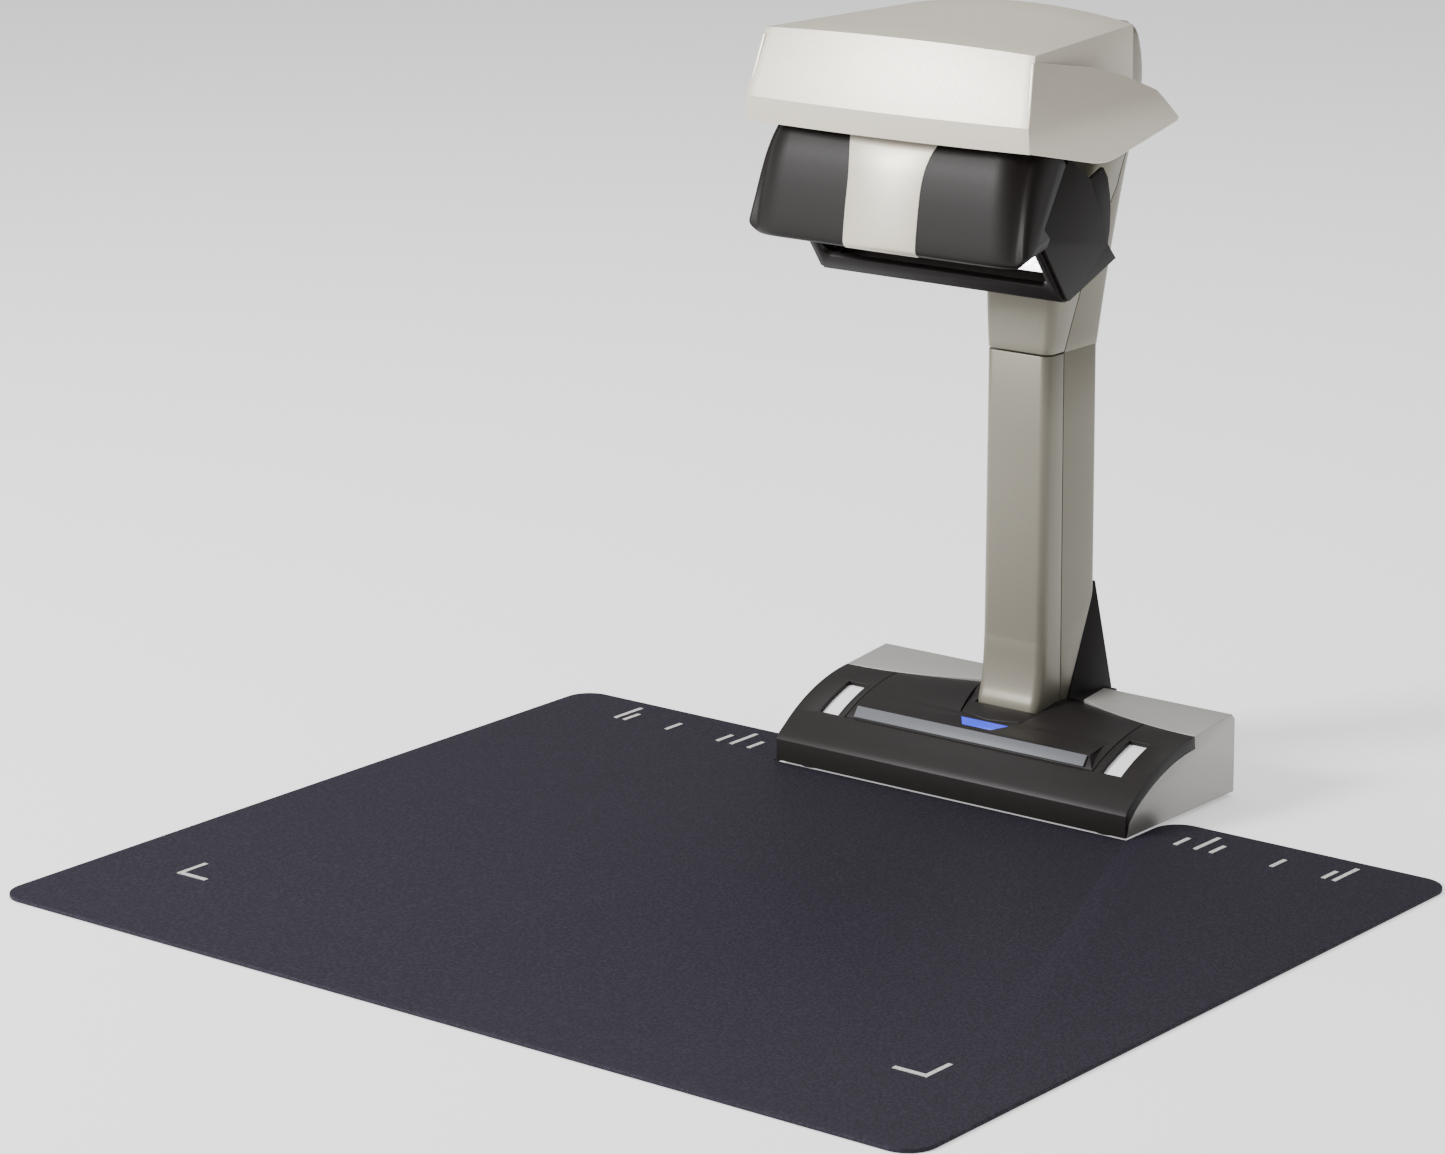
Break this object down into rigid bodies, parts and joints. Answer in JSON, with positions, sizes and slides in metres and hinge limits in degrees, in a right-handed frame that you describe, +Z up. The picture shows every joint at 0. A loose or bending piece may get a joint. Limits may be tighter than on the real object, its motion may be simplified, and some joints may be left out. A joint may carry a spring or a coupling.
{
  "type": "overhead book scanner",
  "caption": "Free-standing overhead scanner: weighted base with scan and stop buttons, slim column, hood with a swinging scanning head, and a dark background mat.",
  "frame": {"origin": "centre of the footprint of mat and scanner, on the surface they stand on", "axes": "+Z up, -Y towards the user (front edge of the mat), +X to the user's right"},
  "size_m": [0.5236, 0.483, 0.3839],
  "materials": {
    "mat": "fine leather grain",
    "mark_ink": "printed white ink",
    "foot_rubber": "matte",
    "black_plastic": "fine spark texture",
    "silver_paint": "satin metallic lacquer",
    "champagne_paint": "satin metallic lacquer",
    "white_sheet": "matte white reference film",
    "strip_grey": "satin",
    "blue_window": "lit translucent blue",
    "steel": "zinc plated",
    "aluminium": "extruded",
    "board_green": "solder mask",
    "component_black": "moulded",
    "gear_white": "moulded acetal",
    "brass": "turned",
    "cable_white": "flat cable",
    "lamp_white": "lamp diffuser",
    "lens_glass": "coated",
    "mirror_glass": "front silvered"
  },
  "bodies": {
    "base": {"background_mat": "mat", "mat_guides": "mark_ink", "rubber_feet": "foot_rubber", "base_tray": "black_plastic", "front_bezel": "black_plastic", "button_deck": "black_plastic", "column_collar": "black_plastic", "rear_gusset": "black_plastic", "base_cover": "silver_paint", "hood_cover": "silver_paint", "hood_wing_left": "silver_paint", "hood_wing_right": "silver_paint", "column_front_cover": "champagne_paint", "column_rear_cover": "champagne_paint", "neck_front_cover": "champagne_paint", "reference_sheets": "white_sheet", "ballast_plates": "steel", "tray_screws": "steel", "deck_hinge_pins": "steel", "lock_insert": "steel", "tube_screws": "steel", "hood_chassis": "steel", "hood_screws": "steel", "pivot_pins": "steel", "drive_plate": "steel", "reduction_spindle": "steel", "usb_socket": "steel", "drive_motor": "steel", "column_tube": "aluminium", "arm_bracket": "aluminium", "main_board": "board_green", "button_switches": "component_black", "board_parts": "component_black", "power_inlet": "component_black", "ribbon_cable": "cable_white"},
    "scan_key": {"scan_panel": "black_plastic", "scan_strip": "strip_grey", "status_window": "blue_window"},
    "stop_key": {"stop_button": "black_plastic"},
    "rotor": {"motor_shaft": "steel", "motor_pinion": "brass"},
    "reduction": {"reduction_gear": "gear_white"},
    "scan_head": {"head_chassis": "black_plastic", "pivot_bushes": "brass", "sector_gear": "gear_white", "head_front_cover": "black_plastic", "head_band": "silver_paint", "head_side_left": "black_plastic", "head_side_right": "black_plastic", "head_rear_wall": "black_plastic", "lamp_bezel": "black_plastic", "optics_frame": "black_plastic", "lamp_bar": "lamp_white", "lamp_reflector": "mirror_glass", "imaging_lens": "lens_glass", "sensor_board": "board_green", "fold_mirror": "mirror_glass", "head_screws": "steel"}
  },
  "joints": [
    {"name": "head_swing", "type": "hinge", "parent": "base", "child": "scan_head", "pos_m": [0, 0.1335, 0.332], "axis": [-1, 0, 0], "range_deg": [-42, 12]},
    {"name": "scan_press", "type": "hinge", "parent": "base", "child": "scan_key", "pos_m": [0, 0.1995, 0.0343], "axis": [1, 0, 0], "range_deg": [0, 1.86], "stiffness_Nm_per_rad": 4, "springref_deg": -0.69},
    {"name": "stop_press", "type": "slide", "parent": "base", "child": "stop_key", "axis": [0, 0, -1], "range_m": [0, 0.001], "stiffness_N_per_m": 900, "springref_m": -0.0005},
    {"name": "reduction_spin", "type": "hinge", "parent": "base", "child": "reduction", "pos_m": [0, 0.16201, 0.35196], "axis": [-1, 0, 0], "range_deg": [-76, 264]},
    {"name": "rotor_spin", "type": "hinge", "parent": "base", "child": "rotor", "pos_m": [0, 0.17678, 0.34936], "axis": [-1, 0, 0], "range_deg": [-1055, 305]}
  ],
  "couplings": [
    {"joint": "reduction_spin", "follows": "head_swing", "ratio": -6.25},
    {"joint": "rotor_spin", "follows": "head_swing", "ratio": 25}
  ]
}
